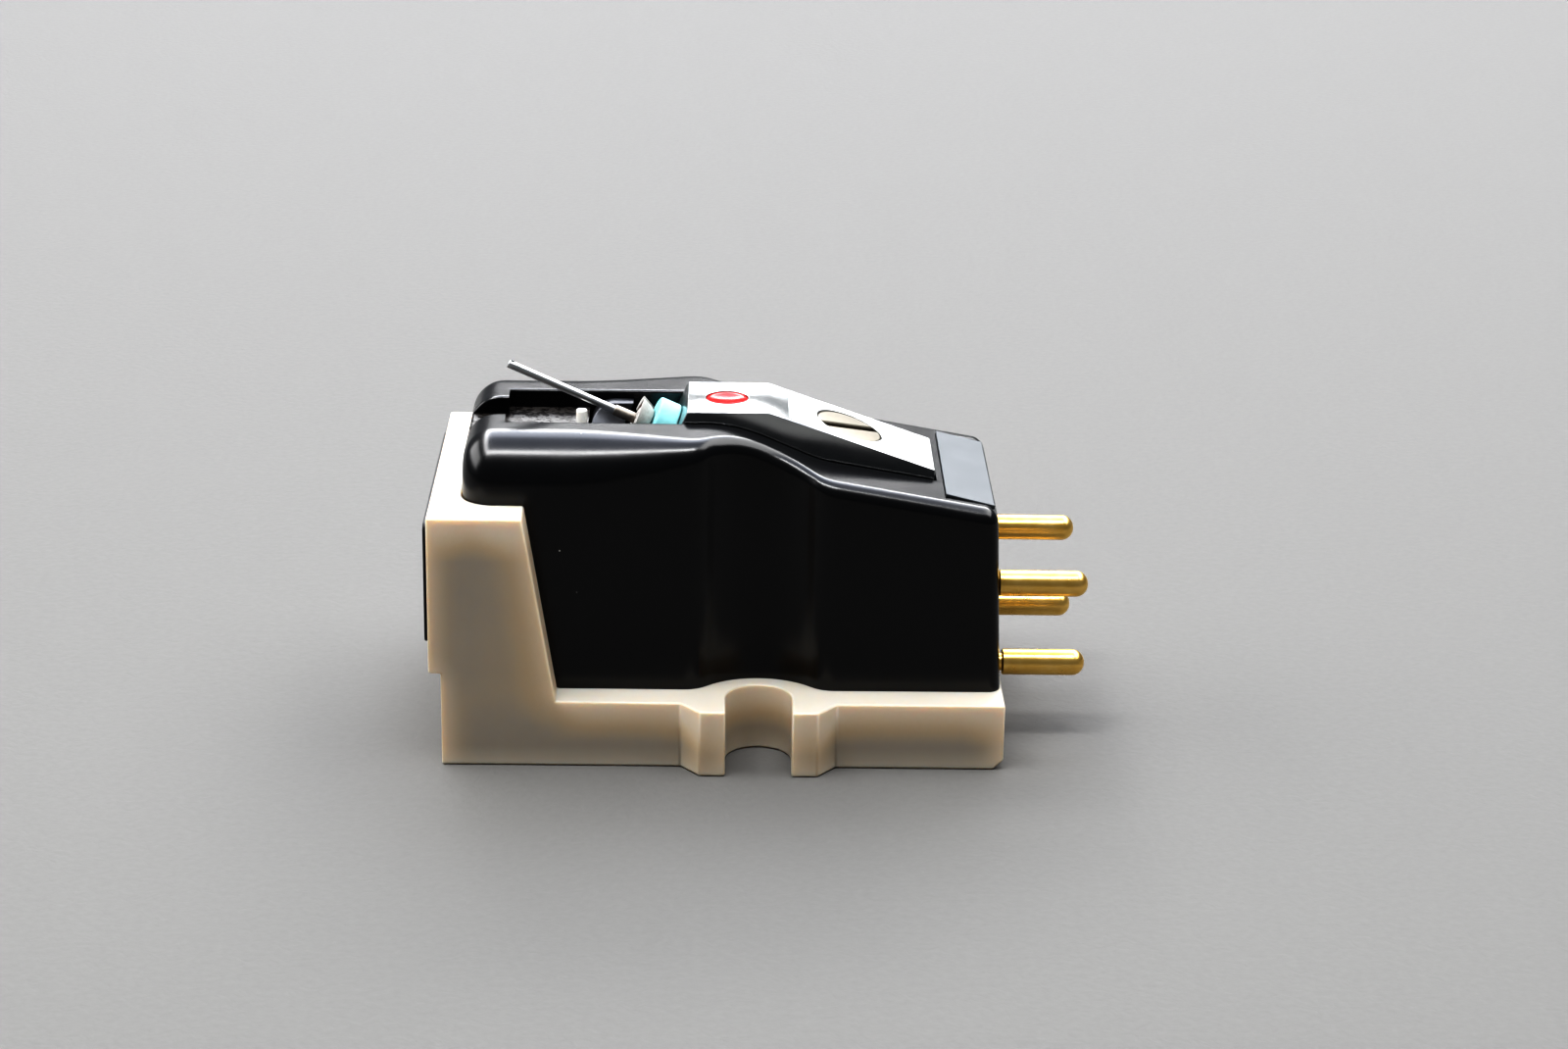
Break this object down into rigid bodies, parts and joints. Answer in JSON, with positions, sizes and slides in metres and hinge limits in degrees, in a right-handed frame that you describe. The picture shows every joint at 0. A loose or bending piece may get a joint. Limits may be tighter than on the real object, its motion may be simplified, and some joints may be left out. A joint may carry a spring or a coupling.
{
  "type": "turntable stylus cartridge",
  "caption": "Moving-coil phono cartridge: ivory base with open screw notches, glossy black body, steel yoke, gold terminal pins and a sprung stylus cantilever.",
  "frame": {"origin": "on the mounting face, midway between the two screw notches", "axes": "+X towards the terminal pins, +Z away from the mounting face towards the stylus"},
  "size_m": [0.0267, 0.0152, 0.015],
  "materials": {
    "ivory_plastic": "semi-gloss ivory moulding that lets a little light through its edges",
    "black_gloss": "glossy black moulding",
    "black_plate": "satin black blank plate",
    "label_aluminium": "fine satin silver",
    "magnet_alloy": "ground dark grey",
    "pole_steel": "dark blued steel",
    "yoke_steel": "satin nickel over turned steel",
    "screw_nickel": "warm nickel plating",
    "red_lacquer": "wet-looking red lacquer",
    "spring_wire": "bright drawn wire",
    "damper_rubber": "soft turquoise rubber",
    "former_plastic": "light grey moulding",
    "coil_copper": "enamelled copper wire",
    "sleeve_aluminium": "warm grey drawn tube",
    "cantilever_aluminium": "bright drawn tube",
    "diamond": "polished stone",
    "terminal_plastic": "brown insulating board",
    "white_plastic": "white rod",
    "pin_gold": "bright gold plating"
  },
  "bodies": {
    "housing": {"mounting_base": "ivory_plastic", "body_shell": "black_gloss", "front_plate": "black_plate", "rear_label": "label_aluminium", "magnet": "magnet_alloy", "front_pole": "pole_steel", "rear_yoke": "yoke_steel", "pole_rod": "yoke_steel", "set_screw": "screw_nickel", "lacquer_seal": "red_lacquer", "yoke_screw": "screw_nickel", "suspension_wire": "spring_wire", "terminal_block": "terminal_plastic", "sight_peg": "white_plastic", "pin_left_signal": "pin_gold", "pin_left_ground": "pin_gold", "pin_right_signal": "pin_gold", "pin_right_ground": "pin_gold", "lead_left_signal": "coil_copper", "lead_left_ground": "coil_copper", "lead_right_signal": "coil_copper", "lead_right_ground": "coil_copper"},
    "suspension": {"damper": "damper_rubber"},
    "stylus_arm": {"armature": "former_plastic", "coil_left": "coil_copper", "coil_right": "coil_copper", "cantilever_sleeve": "sleeve_aluminium", "cantilever_tube": "cantilever_aluminium", "stylus_tip": "diamond"}
  },
  "joints": [
    {"name": "stylus_vertical", "type": "hinge", "parent": "housing", "child": "suspension", "pos_m": [-0.00425, 0, 0.01213], "axis": [0, -1, 0], "range_deg": [-2, 4], "stiffness_Nm_per_rad": 0.0045, "deforming": ["damper"]},
    {"name": "stylus_lateral", "type": "hinge", "parent": "suspension", "child": "stylus_arm", "pos_m": [-0.00425, 0, 0.01213], "axis": [0.4067, 0, 0.9136], "range_deg": [-4, 4], "stiffness_Nm_per_rad": 0.0045}
  ]
}
